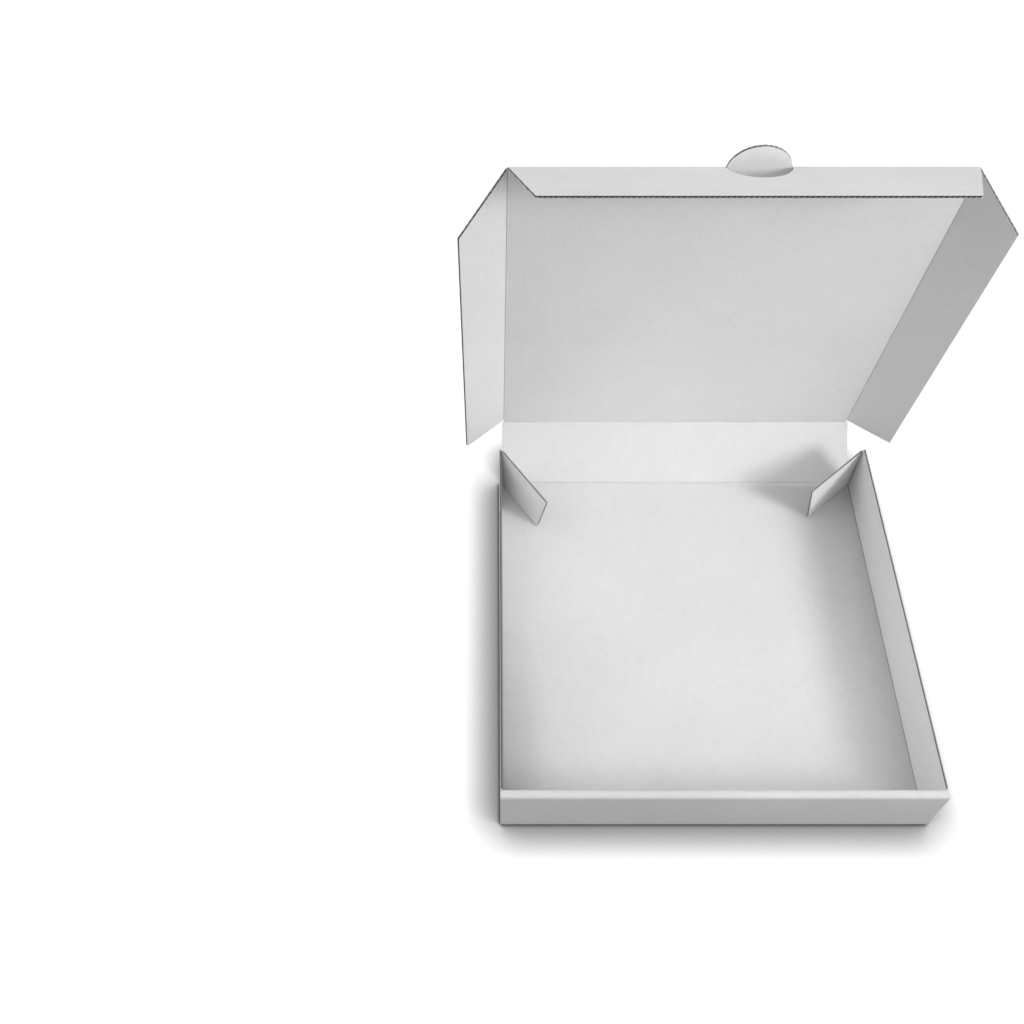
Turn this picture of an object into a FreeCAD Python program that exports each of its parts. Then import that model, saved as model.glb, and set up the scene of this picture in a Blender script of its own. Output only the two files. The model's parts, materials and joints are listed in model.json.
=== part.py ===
import FreeCAD
import Part
import Sketcher
import os

os.makedirs("parts", exist_ok=True)
doc = FreeCAD.newDocument("PizzaBox")

# Driving dimensions, in millimetres and degrees.
SIZES = (
    ("board", 1.6),
    ("half_gap", 0.15),
    ("box_width", 305.0),
    ("box_depth", 306.0),
    ("wall_height", 50.8),
    ("bend_radius", 1.4),
    ("roll_depth", 6.6),
    ("roll_radius", 2.6),
    ("roll_inner_radius", 1.0),
    ("roll_leg", 3.2),
    ("ply_end_gap", 0.3),
    ("tuck_gap", 0.3),
    ("tuck_length", 46.0),
    ("tuck_foot", 2.2),
    ("slot_offset", 85.0),
    ("slot_length", 35.6),
    ("slot_width", 2.4),
    ("lock_length", 34.6),
    ("corner_crease_set", 3.5),
    ("corner_root_gap", 1.2),
    ("corner_foot", 2.4),
    ("corner_top", 47.5),
    ("corner_length_top", 64.5),
    ("corner_length_foot", 54.0),
    ("back_height", 52.8),
    ("back_half_width", 150.0),
    ("lid_half_width", 148.6),
    ("lid_depth", 296.8),
    ("thumb_offset", 9.4),
    ("thumb_radius", 20.9),
    ("thumb_set", 1.9),
    ("thumb_clear", 0.35),
    ("front_flap_height", 50.5),
    ("front_flap_taper", 16.0),
    ("side_flap_height", 40.6),
    ("side_flap_rear", 2.3),
    ("side_flap_front", 0.5),
    ("side_flap_slant", 35.0),
    ("corner_round", 2.0),
    ("back_fold", 37.0),
    ("lid_fold", 61.0),
    ("front_flap_fold", 63.5),
    ("side_flap_fold_left", 40.0),
    ("side_flap_fold_right", 34.5),
    ("corner_fold_left", 146.0),
    ("corner_fold_right", 131.0),
)

sheet = doc.addObject("Spreadsheet::Sheet", "Sizes")
for row, (alias, number) in enumerate(SIZES, start=1):
    sheet.set(f"A{row}", alias)
    sheet.set(f"B{row}", str(number))
    sheet.setAlias(f"B{row}", alias)
doc.recompute()


class Size:
    """A length that keeps its value beside the expression it comes from."""

    def __init__(self, value, text):
        self.value = value
        self.text = text

    def __add__(self, other):
        return combine(self, other, "+")

    def __sub__(self, other):
        return combine(self, other, "-")

    def __mul__(self, factor):
        return Size(self.value * factor, f"({self.text}) * {factor}")

    def __neg__(self):
        return self * -1


def combine(left, right, sign):
    """Sum or difference of two sizes."""
    value = left.value + right.value if sign == "+" else left.value - right.value
    return Size(value, f"({left.text}) {sign} ({right.text})")


def size(alias):
    """The named cell of the sheet as a size."""
    return Size(float(sheet.get(alias)), f"Sizes.{alias}")


def plain(number):
    """A bare number as a size."""
    return Size(number, str(number))


def angle(alias):
    """The named fold angle in degrees."""
    return float(sheet.get(alias))


board = size("board")
gap = size("half_gap")
half_width = size("box_width") * 0.5
half_depth = size("box_depth") * 0.5
front = -half_depth
wall_height = size("wall_height")
inner_face = half_width - board


def new_body(label):
    """A body with its label, which is also the name of its file."""
    body = doc.addObject("PartDesign::Body", label)
    body.Label = label
    return body


def plane(body, role):
    """An origin plane of the body."""
    return next(item for item in body.Origin.OriginFeatures if item.Role == role)


def new_sketch(body, name, role, lift=None):
    """A sketch on an origin plane, moved along the plane's normal by the size lift."""
    sketch = body.newObject("Sketcher::SketchObject", name)
    sketch.AttachmentSupport = (plane(body, role), [""])
    sketch.MapMode = "FlatFace"
    if lift is not None:
        sketch.AttachmentOffset = FreeCAD.Placement(FreeCAD.Vector(0, 0, lift.value), FreeCAD.Rotation())
        sketch.setExpression("AttachmentOffset.Base.z", lift.text)
    return sketch


def pin(sketch, kind, geometry, point, length):
    """Hold one coordinate of a point, or a radius, at a size."""
    if kind == "Radius":
        index = sketch.addConstraint(Sketcher.Constraint(kind, geometry, length.value))
    else:
        index = sketch.addConstraint(Sketcher.Constraint(kind, geometry, point, length.value))
    sketch.setExpression(f"Constraints[{index}]", length.text)


def add_outline(sketch, points):
    """A closed outline through the points, each a pair of sizes."""
    first = sketch.GeometryCount
    count = len(points)
    corners = [FreeCAD.Vector(x.value, y.value, 0) for x, y in points]
    for index in range(count):
        segment = Part.LineSegment(corners[index], corners[(index + 1) % count])
        sketch.addGeometry(segment, False)
    for index in range(count):
        following = first + (index + 1) % count
        sketch.addConstraint(Sketcher.Constraint("Coincident", first + index, 2, following, 1))
    for index, (x, y) in enumerate(points):
        pin(sketch, "DistanceX", first + index, 1, x)
        pin(sketch, "DistanceY", first + index, 1, y)


def add_box(sketch, x_low, x_high, y_low, y_high):
    """A rectangle between four sizes."""
    add_outline(sketch, [(x_low, y_low), (x_high, y_low), (x_high, y_high), (x_low, y_high)])


def add_circle(sketch, x, y, radius):
    """A circle about a centre given by two sizes."""
    centre = FreeCAD.Vector(x.value, y.value, 0)
    index = sketch.addGeometry(Part.Circle(centre, FreeCAD.Vector(0, 0, 1), radius.value), False)
    pin(sketch, "DistanceX", index, 3, x)
    pin(sketch, "DistanceY", index, 3, y)
    pin(sketch, "Radius", index, 0, radius)


def add_pad(body, name, sketch, length, reverse=False, both_ways=False):
    """Raise the sketch by a size."""
    pad = body.newObject("PartDesign::Pad", name)
    pad.Profile = sketch
    pad.Length = length.value
    pad.setExpression("Length", length.text)
    pad.Reversed = reverse
    if both_ways:
        pad.SideType = "Symmetric"
    sketch.Visibility = False
    doc.recompute()
    return pad


def add_pocket(body, name, sketch, length, reverse=False):
    """Cut the sketch into the body by a size."""
    pocket = body.newObject("PartDesign::Pocket", name)
    pocket.Profile = sketch
    pocket.Length = length.value
    pocket.setExpression("Length", length.text)
    pocket.Reversed = reverse
    sketch.Visibility = False
    doc.recompute()
    return pocket


def edges_where(feature, test):
    """Names of the straight edges whose two ends pass the test."""
    names = []
    for index, edge in enumerate(feature.Shape.Edges, start=1):
        ends = [vertex.Point for vertex in edge.Vertexes]
        if len(ends) == 2 and test(ends[0], ends[1]):
            names.append(f"Edge{index}")
    return names


def add_fillet(body, name, feature, edges, radius):
    """Round the named edges by a size."""
    fillet = body.newObject("PartDesign::Fillet", name)
    fillet.Base = (feature, edges)
    fillet.Radius = radius.value
    fillet.setExpression("Radius", radius.text)
    doc.recompute()
    return fillet


def near(value, target, slack=0.02):
    """True when two numbers agree."""
    return abs(value - target) < slack


def upright_at(x, y):
    """Test for an edge along the board's thickness at a corner of the outline."""

    def test(start, end):
        same = near(start.x, end.x) and near(start.y, end.y)
        return same and near(start.x, x.value) and near(start.y, y.value)

    return test


def add_plate(label, points):
    """A body holding one flat panel, its inner face at z = 0 and its crease along x."""
    body = new_body(label)
    sketch = new_sketch(body, f"{label}_outline", "XY_Plane")
    add_outline(sketch, points)
    panel = add_pad(body, f"{label}_panel", sketch, board, reverse=True)
    return body, panel


def round_corners(body, label, feature, corners):
    """Round the given corners of a panel's outline."""
    names = [name for x, y in corners for name in edges_where(feature, upright_at(x, y))]
    return add_fillet(body, f"{label}_corners", feature, names, size("corner_round"))


# The tray: floor, two side walls, the double front wall and what holds it together.
tray = new_body("base_tray")
floor_rear = half_depth - board - gap
sketch = new_sketch(tray, "floor_outline", "XY_Plane")
add_box(sketch, -half_width, half_width, front, floor_rear)
floor = add_pad(tray, "floor", sketch, board)

roll_depth = size("roll_depth")
roll_leg = size("roll_leg")
ply_front = front + roll_depth - board
ply_rear = front + roll_depth
roll_under = wall_height - board
roll_foot = wall_height - roll_leg
sketch = new_sketch(tray, "roll_section", "YZ_Plane")
add_outline(
    sketch,
    [
        (front, board * 0.5),
        (front, wall_height),
        (ply_rear, wall_height),
        (ply_rear, roll_foot),
        (ply_front, roll_foot),
        (ply_front, roll_under),
        (front + board, roll_under),
        (front + board, board * 0.5),
    ],
)
roll = add_pad(tray, "front_wall", sketch, size("box_width"), both_ways=True)

ply_half = inner_face - size("ply_end_gap")
sketch = new_sketch(tray, "inner_ply_section", "YZ_Plane")
add_box(sketch, ply_front, ply_rear, board + gap, roll_foot + plain(0.4))
inner_ply = add_pad(tray, "inner_ply", sketch, ply_half * 2, both_ways=True)

corner_crease = half_depth - size("corner_crease_set")
wall_front = front + board + size("tuck_gap")
wall_step = ply_rear + size("tuck_gap")
low_top = roll_foot - size("tuck_gap")
sketch = new_sketch(tray, "side_wall_outline", "YZ_Plane", inner_face)
add_outline(
    sketch,
    [
        (wall_front, board * 0.5),
        (corner_crease - gap, board * 0.5),
        (corner_crease - gap, wall_height),
        (wall_step, wall_height),
        (wall_step, low_top),
        (wall_front, low_top),
    ],
)
side_wall = add_pad(tray, "side_wall", sketch, board)

tuck_foot = size("tuck_foot")
sketch = new_sketch(tray, "tuck_outline", "XY_Plane", tuck_foot)
add_box(sketch, half_width - size("tuck_length"), half_width, wall_front, wall_front + board)
tuck = add_pad(tray, "front_tuck_flap", sketch, low_top - tuck_foot)

mirrored = tray.newObject("PartDesign::Mirrored", "other_side")
mirrored.Originals = [side_wall, tuck]
mirrored.MirrorPlane = (plane(tray, "YZ_Plane"), [""])
tray.Tip = mirrored
doc.recompute()

slot_offset = size("slot_offset")
half_slot = size("slot_length") * 0.5
half_lock = size("lock_length") * 0.5
slot_middle = ply_front + board * 0.5
half_slot_width = size("slot_width") * 0.5
sketch = new_sketch(tray, "slot_outlines", "XY_Plane", board)
for centre in (slot_offset, -slot_offset):
    add_box(
        sketch,
        centre - half_slot,
        centre + half_slot,
        slot_middle - half_slot_width,
        slot_middle + half_slot_width,
    )
slots = add_pocket(tray, "slots", sketch, board)

sketch = new_sketch(tray, "lock_tab_outlines", "XY_Plane")
for centre in (slot_offset, -slot_offset):
    add_box(sketch, centre - half_lock, centre + half_lock, ply_front, ply_rear)
locks = add_pad(tray, "lock_tabs", sketch, board + gap * 2)


def roll_edges(y_value, z_value):
    """Test for an edge across the front wall at a corner of its section."""

    def test(start, end):
        level = near(start.z, z_value) and near(end.z, z_value)
        return level and near(start.y, y_value) and near(end.y, y_value) and abs(start.x - end.x) > half_width.value

    return test


names = edges_where(locks, roll_edges(front.value, wall_height.value))
names += edges_where(locks, roll_edges(ply_rear.value, wall_height.value))
outer_roll = add_fillet(tray, "roll_outside", locks, names, size("roll_radius"))
names = edges_where(outer_roll, roll_edges(front.value + board.value, roll_under.value))
names += edges_where(outer_roll, roll_edges(ply_front.value, roll_under.value))
inner_roll = add_fillet(tray, "roll_inside", outer_roll, names, size("roll_inner_radius"))


def bottom_bend(start, end):
    """Test for the outer edges of the floor's side bends."""
    level = near(start.z, 0) and near(end.z, 0)
    along = near(abs(start.x), half_width.value) and near(start.x, end.x)
    return level and along and abs(start.y - end.y) > half_depth.value


def front_bend(start, end):
    """Test for the outer edge of the floor's front bend."""
    level = near(start.z, 0) and near(end.z, 0)
    return level and near(start.y, front.value) and near(end.y, front.value)


def tuck_bend(start, end):
    """Test for the outer edges where the side walls turn in behind the front wall."""
    across = near(abs(start.x), half_width.value) and near(start.x, end.x)
    along = near(start.y, wall_front.value) and near(end.y, wall_front.value)
    return across and along and abs(start.z - end.z) > wall_height.value * 0.5


bend_radius = size("bend_radius")
names = edges_where(inner_roll, bottom_bend)
side_bends = add_fillet(tray, "side_bends", inner_roll, names, bend_radius)
names = edges_where(side_bends, tuck_bend)
tuck_bends = add_fillet(tray, "tuck_bends", side_bends, names, bend_radius)
tray.Tip = tuck_bends

# The back wall.
back_half = size("back_half_width")
back_height = size("back_height")
back_points = [(-back_half, gap), (back_half, gap), (back_half, back_height - gap), (-back_half, back_height - gap)]
back, _ = add_plate("back_wall", back_points)

# The lid, with the half-round thumb tab that stays in its plane.
lid_half = size("lid_half_width")
lid_depth = size("lid_depth")
thumb_x = size("thumb_offset")
thumb_radius = size("thumb_radius")
thumb_set = size("thumb_set")
panel_half = lid_half - gap
lid_points = [(-panel_half, gap), (panel_half, gap), (panel_half, lid_depth - gap), (-panel_half, lid_depth - gap)]
lid, _ = add_plate("lid_panel", lid_points)
sketch = new_sketch(lid, "thumb_tab_outline", "XY_Plane")
add_circle(sketch, thumb_x, lid_depth - thumb_set, thumb_radius)
add_pad(lid, "thumb_tab", sketch, board, reverse=True)

# The lid's front flap, with the hole the thumb tab leaves.
flap_height = size("front_flap_height")
flap_root = panel_half - gap
flap_tip = flap_root - size("front_flap_taper")
flap_points = [(-flap_root, gap), (flap_root, gap), (flap_tip, flap_height), (-flap_tip, flap_height)]
front_flap, feature = add_plate("lid_front_flap", flap_points)
feature = round_corners(front_flap, "lid_front_flap", feature, flap_points[2:])
sketch = new_sketch(front_flap, "thumb_hole_outline", "XY_Plane")
add_circle(sketch, thumb_x, -thumb_set, thumb_radius + size("thumb_clear"))
add_pocket(front_flap, "thumb_hole", sketch, board)

# The lid's side flaps, slanted at the front and square at the rear.
side_rear = size("side_flap_rear")
side_front = lid_depth - size("side_flap_front")
side_tip = lid_depth - size("side_flap_slant")
side_height = size("side_flap_height")


def side_flap(label, sign):
    """One side flap; sign gives the way its crease runs from the hinge."""
    points = [
        (side_rear * sign, gap),
        (side_front * sign, gap),
        (side_tip * sign, side_height),
        (side_rear * sign, side_height),
    ]
    body, pad = add_plate(label, points)
    round_corners(body, label, pad, points[2:3])
    return body


side_left = side_flap("lid_side_flap_left", 1)
side_right = side_flap("lid_side_flap_right", -1)

# The flaps on the rear ends of the side walls.
corner_root = size("corner_root_gap")
corner_foot = size("corner_foot")
corner_top = size("corner_top")


def corner_flap(label, sign):
    """One rear corner flap; sign gives the way its crease runs up the wall."""
    points = [
        (corner_foot * sign, corner_root),
        (corner_foot * sign, size("corner_length_foot")),
        (corner_top * sign, size("corner_length_top")),
        (corner_top * sign, corner_root),
    ]
    body, pad = add_plate(label, points)
    round_corners(body, label, pad, points[1:2])
    return body


corner_left = corner_flap("rear_corner_flap_left", -1)
corner_right = corner_flap("rear_corner_flap_right", 1)

X_AXIS = FreeCAD.Vector(1, 0, 0)
Y_AXIS = FreeCAD.Vector(0, 1, 0)
Z_AXIS = FreeCAD.Vector(0, 0, 1)


def place(x, y, z, axis=X_AXIS, degrees=0.0):
    """A move to a point with a turn about an axis."""
    return FreeCAD.Placement(FreeCAD.Vector(x, y, z), FreeCAD.Rotation(axis, degrees))


def fold(alias):
    """A turn about the crease, from flat towards the inside of the box."""
    return place(0, 0, 0, X_AXIS, angle(alias))


back_place = place(0, half_depth.value - board.value, board.value) * fold("back_fold")
lid_place = back_place * place(0, back_height.value, 0) * fold("lid_fold")
front_flap_place = lid_place * place(0, lid_depth.value, 0) * fold("front_flap_fold")
side_left_place = lid_place * place(-lid_half.value, 0, 0, Z_AXIS, 90) * fold("side_flap_fold_left")
side_right_place = lid_place * place(lid_half.value, 0, 0, Z_AXIS, -90) * fold("side_flap_fold_right")
corner_left_place = place(-inner_face.value, corner_crease.value, 0, Y_AXIS, 90) * fold("corner_fold_left")
corner_right_place = place(inner_face.value, corner_crease.value, 0, Y_AXIS, -90) * fold("corner_fold_right")

PLACED = (
    (tray, FreeCAD.Placement()),
    (back, back_place),
    (lid, lid_place),
    (front_flap, front_flap_place),
    (side_left, side_left_place),
    (side_right, side_right_place),
    (corner_left, corner_left_place),
    (corner_right, corner_right_place),
)
for body, placement in PLACED:
    body.Placement = placement
doc.recompute()

for item in doc.Objects:
    if "Invalid" in item.State or "Error" in item.State:
        raise RuntimeError(f"{item.Label} did not recompute: {item.State}")

for body, placement in PLACED:
    shape = body.Shape
    if shape.isNull() or not shape.isValid() or len(shape.Solids) != 1:
        raise RuntimeError(f"{body.Label} is not one valid solid")
    box = shape.BoundBox
    print(
        f"{body.Label}: volume {shape.Volume:.0f} mm3, "
        f"x {box.XMin:.1f} {box.XMax:.1f}, y {box.YMin:.1f} {box.YMax:.1f}, z {box.ZMin:.1f} {box.ZMax:.1f}"
    )
    shape.exportStep(f"parts/{body.Label}.step")
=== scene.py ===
import json
import logging
import math
from collections.abc import Callable, Iterator
from contextlib import contextmanager
from dataclasses import dataclass, field, replace
from enum import Enum
from typing import ClassVar

import bmesh
import bpy
from mathutils import Matrix, Quaternion, Vector

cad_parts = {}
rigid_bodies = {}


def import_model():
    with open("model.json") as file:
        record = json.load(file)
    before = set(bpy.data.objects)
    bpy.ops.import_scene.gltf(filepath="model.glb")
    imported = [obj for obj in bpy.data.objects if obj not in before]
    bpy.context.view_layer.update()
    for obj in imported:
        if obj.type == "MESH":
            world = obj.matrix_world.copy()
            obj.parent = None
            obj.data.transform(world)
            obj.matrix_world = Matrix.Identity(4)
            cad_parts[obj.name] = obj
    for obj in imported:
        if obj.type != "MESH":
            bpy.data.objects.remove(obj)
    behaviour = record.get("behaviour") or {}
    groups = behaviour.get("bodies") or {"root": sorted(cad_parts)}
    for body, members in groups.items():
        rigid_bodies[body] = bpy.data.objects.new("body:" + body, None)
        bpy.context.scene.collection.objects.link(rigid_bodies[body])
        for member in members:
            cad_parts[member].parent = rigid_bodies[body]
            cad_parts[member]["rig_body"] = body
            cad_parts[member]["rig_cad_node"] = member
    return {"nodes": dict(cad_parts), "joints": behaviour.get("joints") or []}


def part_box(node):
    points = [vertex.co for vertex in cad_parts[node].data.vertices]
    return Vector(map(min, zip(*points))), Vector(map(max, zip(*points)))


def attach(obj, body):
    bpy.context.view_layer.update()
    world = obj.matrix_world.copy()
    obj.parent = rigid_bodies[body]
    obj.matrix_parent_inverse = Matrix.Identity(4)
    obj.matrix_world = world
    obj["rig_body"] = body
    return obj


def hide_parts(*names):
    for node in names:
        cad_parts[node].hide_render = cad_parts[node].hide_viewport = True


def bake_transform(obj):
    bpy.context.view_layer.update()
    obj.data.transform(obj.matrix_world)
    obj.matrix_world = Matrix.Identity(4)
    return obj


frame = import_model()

log = logging.getLogger("pizza_box")

MILLIMETRE = 0.001
X_AXIS = Vector((1, 0, 0))
Y_AXIS = Vector((0, 1, 0))
Z_AXIS = Vector((0, 0, 1))
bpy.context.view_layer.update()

# How near two points, or a face and a plane, lie to count as one
POINT_REACH = 0.005 * MILLIMETRE
PLANE_REACH = 0.05 * MILLIMETRE
# The least that a normal follows a direction for its face to look that way
FACING = 0.9
# The most that a normal follows a panel's for its face to be one of the cut edges
EDGEWISE = 0.5


class Face(Enum):
    """Which side of the board a finish is for."""

    INSIDE = "inside"
    OUTSIDE = "outside"


class Side(Enum):
    """Which side of the box a flap is on, seen from the front."""

    LEFT = "left"
    RIGHT = "right"

    @property
    def outwards(self) -> Vector:
        """The direction that leads away from the middle of the box."""
        return X_AXIS if self is Side.RIGHT else -X_AXIS


@dataclass(frozen=True)
class Makeup:
    """The layers of the corrugated board, in metres.

    Attributes:
        thickness: The whole board.
        liner: Each of the two flat papers.
        medium: The fluted paper.
        pitch: From one flute to the next.
        crease_press: How deep a crease is pressed in.
        crease_thickness: The board at a crease, before it is pressed.
    """

    thickness: float = 1.6 * MILLIMETRE
    liner: float = 0.24 * MILLIMETRE
    medium: float = 0.15 * MILLIMETRE
    pitch: float = 3.3 * MILLIMETRE
    crease_press: float = 0.45 * MILLIMETRE
    crease_thickness: float = 1.55 * MILLIMETRE

    @property
    def core(self) -> float:
        """Height of the fluted core between the two liners."""
        return self.thickness - 2 * self.liner


MAKEUP = Makeup()


# Modelling helpers


def only(piece: bpy.types.Object) -> None:
    """Select one object alone and make it the active one.

    Args:
        piece: The object to work on.
    """
    for other in bpy.context.selected_objects:
        other.select_set(False)
    bpy.context.view_layer.objects.active = piece
    piece.select_set(True)


@contextmanager
def edit_mode(piece: bpy.types.Object) -> Iterator[None]:
    """Work on one object in edit mode, with nothing selected at first.

    Args:
        piece: The object to work on.
    """
    only(piece)
    bpy.ops.object.mode_set(mode="EDIT")
    bpy.ops.mesh.select_mode(type="FACE")
    bpy.ops.mesh.select_all(action="DESELECT")
    yield
    bpy.ops.object.mode_set(mode="OBJECT")


def pick_faces(piece: bpy.types.Object, test: Callable[[bmesh.types.BMFace], bool]) -> int:
    """Select the faces that pass a test, in edit mode.

    Args:
        piece: The object in edit mode.
        test: What a face has to satisfy.

    Returns:
        How many faces are selected.
    """
    mesh = bmesh.from_edit_mesh(piece.data)
    bpy.ops.mesh.select_all(action="DESELECT")
    count = 0
    for face in mesh.faces:
        chosen = test(face)
        face.select_set(chosen)
        count += chosen
    mesh.select_flush_mode()
    bmesh.update_edit_mesh(piece.data)
    return count


def pick_points(piece: bpy.types.Object, test: Callable[[Vector], bool]) -> None:
    """Select the vertices that pass a test on their place, in edit mode.

    Args:
        piece: The object in edit mode.
        test: What a vertex's place has to satisfy.
    """
    bpy.ops.mesh.select_mode(type="VERT")
    bpy.ops.mesh.select_all(action="DESELECT")
    mesh = bmesh.from_edit_mesh(piece.data)
    for vertex in mesh.verts:
        if test(vertex.co):
            vertex.select_set(True)
    mesh.select_flush_mode()
    bmesh.update_edit_mesh(piece.data)


def bake_place(piece: bpy.types.Object) -> None:
    """Move an object's place, turn and size into its mesh.

    Args:
        piece: The object to bake.
    """
    only(piece)
    bpy.ops.object.transform_apply(location=True, rotation=True, scale=True)


def add_modifier(piece: bpy.types.Object, kind: str, **settings: object) -> None:
    """Add a modifier, set it and apply it.

    Args:
        piece: The object that gets it.
        kind: The modifier's type.
        **settings: Its settings.
    """
    only(piece)
    modifier = piece.modifiers.new(kind.title(), kind)
    for name, value in settings.items():
        setattr(modifier, name, value)
    bpy.ops.object.modifier_apply(modifier=modifier.name)


def smooth(piece: bpy.types.Object, degrees: float = 32.0) -> None:
    """Shade a piece smooth across its softer edges.

    Args:
        piece: The piece to shade.
        degrees: The sharpest angle that is shaded smooth.
    """
    only(piece)
    bpy.ops.object.shade_smooth_by_angle(angle=math.radians(degrees))


def copy_of_node(node: str, name: str) -> bpy.types.Object:
    """A merged copy of a frame node's mesh, as the start of a new piece.

    Args:
        node: The frame node.
        name: The new piece's name.

    Returns:
        The new object.
    """
    piece = frame["nodes"][node].copy()
    piece.data = piece.data.copy()
    piece.name = name
    piece.parent = None
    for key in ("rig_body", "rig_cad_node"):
        if key in piece:
            del piece[key]
    bpy.context.scene.collection.objects.link(piece)
    piece.data.materials.clear()
    with edit_mode(piece):
        bpy.ops.mesh.select_all(action="SELECT")
        bpy.ops.mesh.remove_doubles(threshold=POINT_REACH)
        bpy.ops.mesh.normals_make_consistent(inside=False)
    only(piece)
    bpy.ops.object.shade_flat()
    return piece


def turned(vector: Vector, axis: Vector, degrees: float) -> Vector:
    """A vector turned about an axis.

    Args:
        vector: The vector to turn.
        axis: The axis to turn about.
        degrees: How far.

    Returns:
        The turned vector.
    """
    return Quaternion(axis, math.radians(degrees)) @ vector


# Finishes


@dataclass
class NodeTree:
    """A small helper that adds and links shader nodes.

    Attributes:
        owner: The material or world whose nodes they are.
        column: How many nodes have been added.
    """

    owner: bpy.types.Material | bpy.types.World
    column: int = 0

    def __post_init__(self) -> None:
        """Switch the owner's nodes on and keep them at hand."""
        self.owner.use_nodes = True
        self.nodes = self.owner.node_tree.nodes
        self.links = self.owner.node_tree.links

    @property
    def shader(self) -> bpy.types.Node:
        """The principled shader that a new material starts with."""
        return self.nodes["Principled BSDF"]

    def add(self, kind: str, **settings: object) -> bpy.types.Node:
        """Add a node and set its properties and inputs.

        Args:
            kind: The node's type.
            **settings: Properties by name, and inputs by name with _ for a space.

        Returns:
            The node.
        """
        node = self.nodes.new(kind)
        self.column += 1
        node.location = (-200 * self.column, -160)
        for name, value in settings.items():
            if hasattr(node, name):
                setattr(node, name, value)
            else:
                node.inputs[name.replace("_", " ")].default_value = value
        return node

    def link(
        self, source: bpy.types.Node, output: str | int, target: bpy.types.Node, inlet: str | int
    ) -> None:
        """Join an output to an input.

        Args:
            source: The node that the link leaves.
            output: The output's name or number.
            target: The node that the link reaches.
            inlet: The input's name or number.
        """
        self.links.new(source.outputs[output], target.inputs[inlet])

    def compute(
        self, operation: str, *terms: float | tuple[bpy.types.Node, str]
    ) -> tuple[bpy.types.Node, str]:
        """Add a sum.

        Args:
            operation: The kind of sum.
            *terms: Numbers, or nodes with the name of the output to read.

        Returns:
            The node, with the name of its output.
        """
        node = self.add("ShaderNodeMath", operation=operation)
        for place, term in enumerate(terms):
            if isinstance(term, tuple):
                self.link(*term, node, place)
            else:
                node.inputs[place].default_value = term
        return node, "Value"

    def looked_at(self) -> tuple[bpy.types.Node, str]:
        """A value of 1 for what the camera sees, straight, mirrored or through glass, else 0.

        Returns:
            The node, with the name of its output.
        """
        rays = self.add("ShaderNodeLightPath")
        seen = self.compute("MAXIMUM", (rays, "Is Camera Ray"), (rays, "Is Glossy Ray"))
        return self.compute("MAXIMUM", seen, (rays, "Is Transmission Ray"))


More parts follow.
